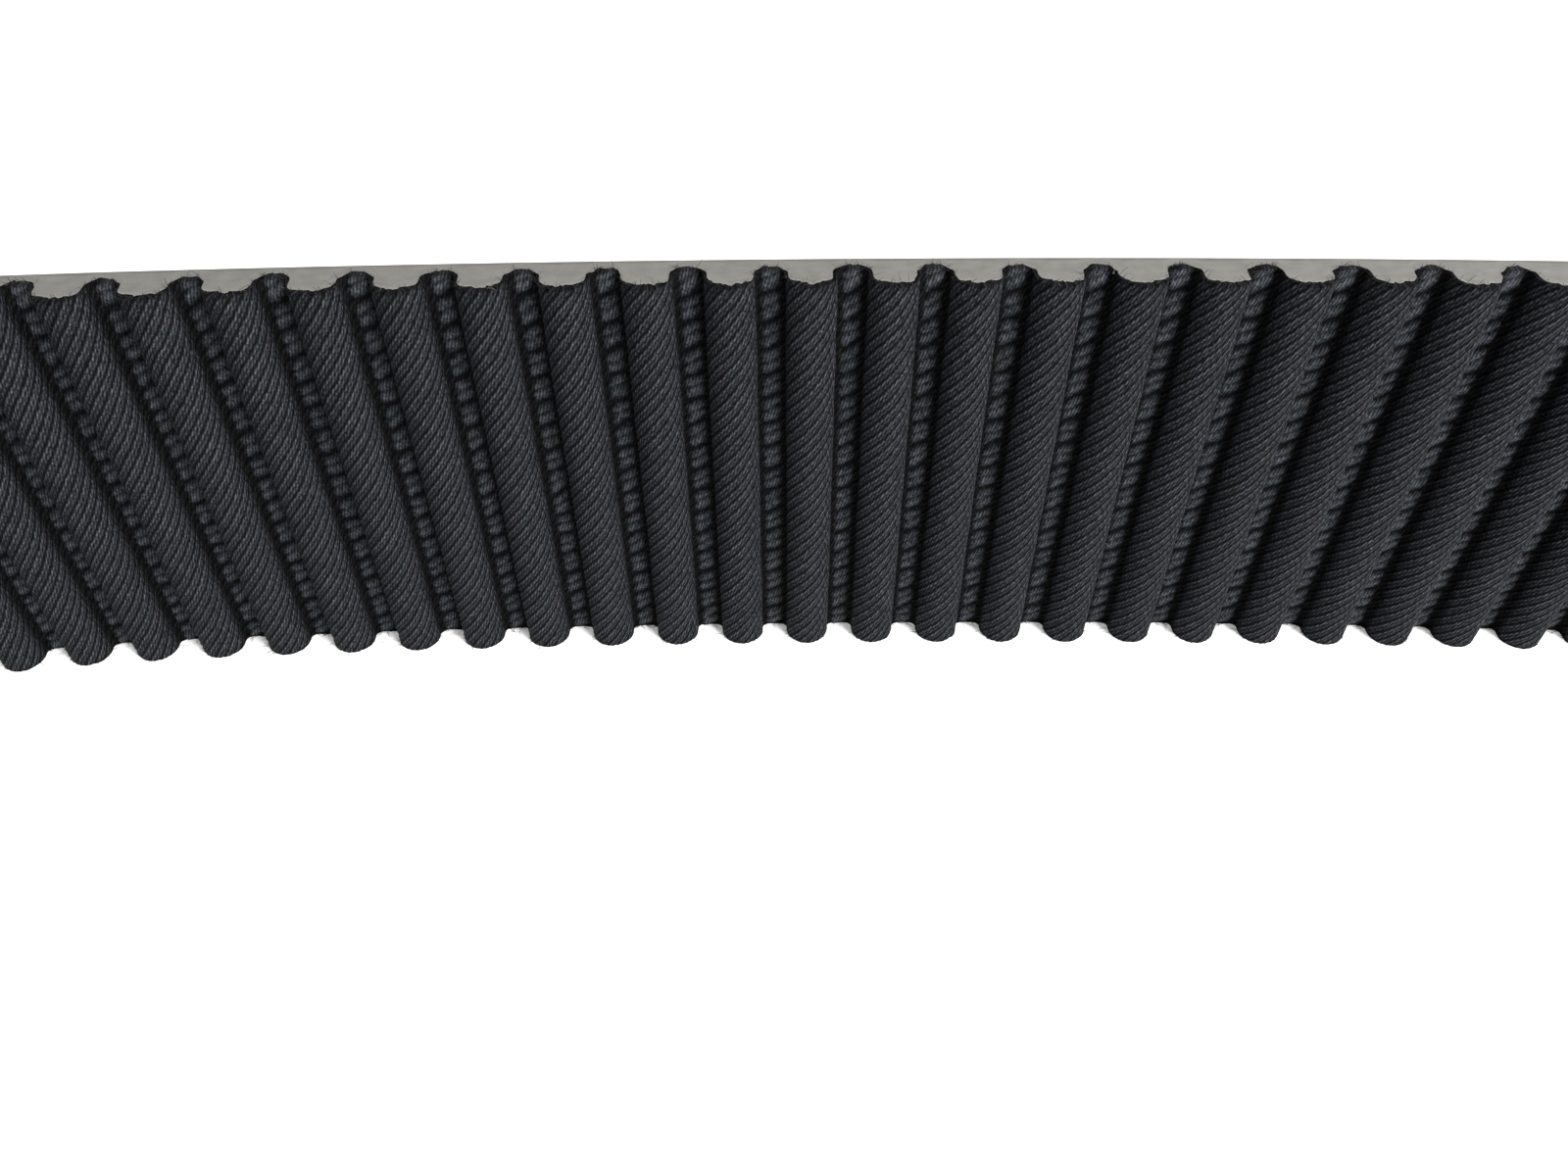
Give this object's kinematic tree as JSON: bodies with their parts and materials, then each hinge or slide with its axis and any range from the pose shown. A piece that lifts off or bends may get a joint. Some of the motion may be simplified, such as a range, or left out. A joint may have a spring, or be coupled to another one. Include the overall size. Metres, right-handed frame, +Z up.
{
  "type": "timing belt",
  "caption": "Endless round-tooth timing belt of black rubber with a woven fabric facing on its teeth, lying open on its cut edge.",
  "frame": {"origin": "middle of the bounding box's base, on the plane of the lower cut edge", "axes": "+X along the two runs, +Y from the near run to the far run, +Z up across the belt's width"},
  "size_m": [0.3356, 0.1302, 0.05],
  "materials": {
    "rubber_body": "matt, ground and cut",
    "facing_fabric": "black twill woven nylon, slightly lustrous on the crests",
    "tensile_cords": "twisted glass fibre cord, treated"
  },
  "bodies": {
    "stretch_01": {"rubber_body_01": "rubber_body", "tensile_cords_01": "tensile_cords", "facing_fabric_01": "facing_fabric"},
    "stretch_02": {"rubber_body_02": "rubber_body", "tensile_cords_02": "tensile_cords", "facing_fabric_02": "facing_fabric"},
    "stretch_03": {"rubber_body_03": "rubber_body", "tensile_cords_03": "tensile_cords", "facing_fabric_03": "facing_fabric"},
    "stretch_04": {"rubber_body_04": "rubber_body", "tensile_cords_04": "tensile_cords", "facing_fabric_04": "facing_fabric"},
    "stretch_05": {"rubber_body_05": "rubber_body", "tensile_cords_05": "tensile_cords", "facing_fabric_05": "facing_fabric"},
    "stretch_06": {"rubber_body_06": "rubber_body", "tensile_cords_06": "tensile_cords", "facing_fabric_06": "facing_fabric"},
    "stretch_07": {"rubber_body_07": "rubber_body", "tensile_cords_07": "tensile_cords", "facing_fabric_07": "facing_fabric"},
    "stretch_08": {"rubber_body_08": "rubber_body", "tensile_cords_08": "tensile_cords", "facing_fabric_08": "facing_fabric"},
    "stretch_09": {"rubber_body_09": "rubber_body", "tensile_cords_09": "tensile_cords", "facing_fabric_09": "facing_fabric"},
    "stretch_10": {"rubber_body_10": "rubber_body", "tensile_cords_10": "tensile_cords", "facing_fabric_10": "facing_fabric"},
    "stretch_11": {"rubber_body_11": "rubber_body", "tensile_cords_11": "tensile_cords", "facing_fabric_11": "facing_fabric"},
    "stretch_12": {"rubber_body_12": "rubber_body", "tensile_cords_12": "tensile_cords", "facing_fabric_12": "facing_fabric"},
    "stretch_13": {"rubber_body_13": "rubber_body", "tensile_cords_13": "tensile_cords", "facing_fabric_13": "facing_fabric"},
    "stretch_14": {"rubber_body_14": "rubber_body", "tensile_cords_14": "tensile_cords", "facing_fabric_14": "facing_fabric"},
    "stretch_15": {"rubber_body_15": "rubber_body", "tensile_cords_15": "tensile_cords", "facing_fabric_15": "facing_fabric"},
    "stretch_16": {"rubber_body_16": "rubber_body", "tensile_cords_16": "tensile_cords", "facing_fabric_16": "facing_fabric"},
    "stretch_17": {"rubber_body_17": "rubber_body", "tensile_cords_17": "tensile_cords", "facing_fabric_17": "facing_fabric"},
    "stretch_18": {"rubber_body_18": "rubber_body", "tensile_cords_18": "tensile_cords", "facing_fabric_18": "facing_fabric"},
    "stretch_19": {"rubber_body_19": "rubber_body", "tensile_cords_19": "tensile_cords", "facing_fabric_19": "facing_fabric"},
    "stretch_20": {"rubber_body_20": "rubber_body", "tensile_cords_20": "tensile_cords", "facing_fabric_20": "facing_fabric"}
  },
  "joints": [
    {"name": "flex_01_02", "type": "hinge", "parent": "stretch_01", "child": "stretch_02", "pos_m": [0.02, 0.06344, 0.025], "axis": [0, 0, -1], "range_deg": [-5, 16.64], "stiffness_Nm_per_rad": 0.2},
    {"name": "flex_02_03", "type": "hinge", "parent": "stretch_02", "child": "stretch_03", "pos_m": [0.05999, 0.06253, 0.025], "axis": [0, 0, -1], "range_deg": [-4.92, 16.34]},
    {"name": "flex_03_04", "type": "hinge", "parent": "stretch_03", "child": "stretch_04", "pos_m": [0.09993, 0.06048, 0.025], "axis": [0, 0, -1], "range_deg": [-1.69, 5.59]},
    {"name": "flex_04_05", "type": "hinge", "parent": "stretch_04", "child": "stretch_05", "pos_m": [0.13813, 0.05001, 0.025], "axis": [0, 0, -1], "range_deg": [-17.42, 5.24]},
    {"name": "flex_05_06", "type": "hinge", "parent": "stretch_05", "child": "stretch_06", "pos_m": [0.16293, 0.01961, 0.025], "axis": [0, 0, -1], "range_deg": [-21.15, 6.36]},
    {"name": "flex_06_07", "type": "hinge", "parent": "stretch_06", "child": "stretch_07", "pos_m": [0.16293, -0.01961, 0.025], "axis": [0, 0, -1], "range_deg": [-21.15, 6.36]},
    {"name": "flex_07_08", "type": "hinge", "parent": "stretch_07", "child": "stretch_08", "pos_m": [0.13813, -0.05001, 0.025], "axis": [0, 0, -1], "range_deg": [-17.42, 5.24]},
    {"name": "flex_08_09", "type": "hinge", "parent": "stretch_08", "child": "stretch_09", "pos_m": [0.09993, -0.06048, 0.025], "axis": [0, 0, -1], "range_deg": [-1.69, 5.59]},
    {"name": "flex_09_10", "type": "hinge", "parent": "stretch_09", "child": "stretch_10", "pos_m": [0.05999, -0.06253, 0.025], "axis": [0, 0, -1], "range_deg": [-4.92, 16.34]},
    {"name": "flex_10_11", "type": "hinge", "parent": "stretch_10", "child": "stretch_11", "pos_m": [0.02, -0.06344, 0.025], "axis": [0, 0, -1], "range_deg": [-5.01, 16.65]},
    {"name": "flex_01_20", "type": "hinge", "parent": "stretch_01", "child": "stretch_20", "pos_m": [-0.02, 0.06344, 0.025], "axis": [0, 0, 1], "range_deg": [-5.01, 16.65]},
    {"name": "flex_20_19", "type": "hinge", "parent": "stretch_20", "child": "stretch_19", "pos_m": [-0.05999, 0.06253, 0.025], "axis": [0, 0, 1], "range_deg": [-4.92, 16.34]},
    {"name": "flex_19_18", "type": "hinge", "parent": "stretch_19", "child": "stretch_18", "pos_m": [-0.09993, 0.06048, 0.025], "axis": [0, 0, 1], "range_deg": [-1.69, 5.59]},
    {"name": "flex_18_17", "type": "hinge", "parent": "stretch_18", "child": "stretch_17", "pos_m": [-0.13813, 0.05001, 0.025], "axis": [0, 0, 1], "range_deg": [-17.42, 5.24]},
    {"name": "flex_17_16", "type": "hinge", "parent": "stretch_17", "child": "stretch_16", "pos_m": [-0.16293, 0.01961, 0.025], "axis": [0, 0, 1], "range_deg": [-21.15, 6.36]},
    {"name": "flex_16_15", "type": "hinge", "parent": "stretch_16", "child": "stretch_15", "pos_m": [-0.16293, -0.01961, 0.025], "axis": [0, 0, 1], "range_deg": [-21.15, 6.36]},
    {"name": "flex_15_14", "type": "hinge", "parent": "stretch_15", "child": "stretch_14", "pos_m": [-0.13813, -0.05001, 0.025], "axis": [0, 0, 1], "range_deg": [-17.42, 5.24]},
    {"name": "flex_14_13", "type": "hinge", "parent": "stretch_14", "child": "stretch_13", "pos_m": [-0.09993, -0.06048, 0.025], "axis": [0, 0, 1], "range_deg": [-1.69, 5.59]},
    {"name": "flex_13_12", "type": "hinge", "parent": "stretch_13", "child": "stretch_12", "pos_m": [-0.05999, -0.06253, 0.025], "axis": [0, 0, 1], "range_deg": [-4.92, 16.34]}
  ],
  "couplings": [
    {"joint": "flex_02_03", "follows": "flex_01_02", "ratio": 0.98115},
    {"joint": "flex_03_04", "follows": "flex_01_02", "ratio": 0.33541},
    {"joint": "flex_04_05", "follows": "flex_01_02", "ratio": -1.0463},
    {"joint": "flex_05_06", "follows": "flex_01_02", "ratio": -1.2702},
    {"joint": "flex_06_07", "follows": "flex_01_02", "ratio": -1.2702},
    {"joint": "flex_07_08", "follows": "flex_01_02", "ratio": -1.0463},
    {"joint": "flex_08_09", "follows": "flex_01_02", "ratio": 0.33541},
    {"joint": "flex_09_10", "follows": "flex_01_02", "ratio": 0.98115},
    {"joint": "flex_10_11", "follows": "flex_01_02", "ratio": 1},
    {"joint": "flex_01_20", "follows": "flex_01_02", "ratio": 1},
    {"joint": "flex_20_19", "follows": "flex_01_02", "ratio": 0.98115},
    {"joint": "flex_19_18", "follows": "flex_01_02", "ratio": 0.33541},
    {"joint": "flex_18_17", "follows": "flex_01_02", "ratio": -1.0463},
    {"joint": "flex_17_16", "follows": "flex_01_02", "ratio": -1.2702},
    {"joint": "flex_16_15", "follows": "flex_01_02", "ratio": -1.2702},
    {"joint": "flex_15_14", "follows": "flex_01_02", "ratio": -1.0463},
    {"joint": "flex_14_13", "follows": "flex_01_02", "ratio": 0.33541},
    {"joint": "flex_13_12", "follows": "flex_01_02", "ratio": 0.98115}
  ]
}
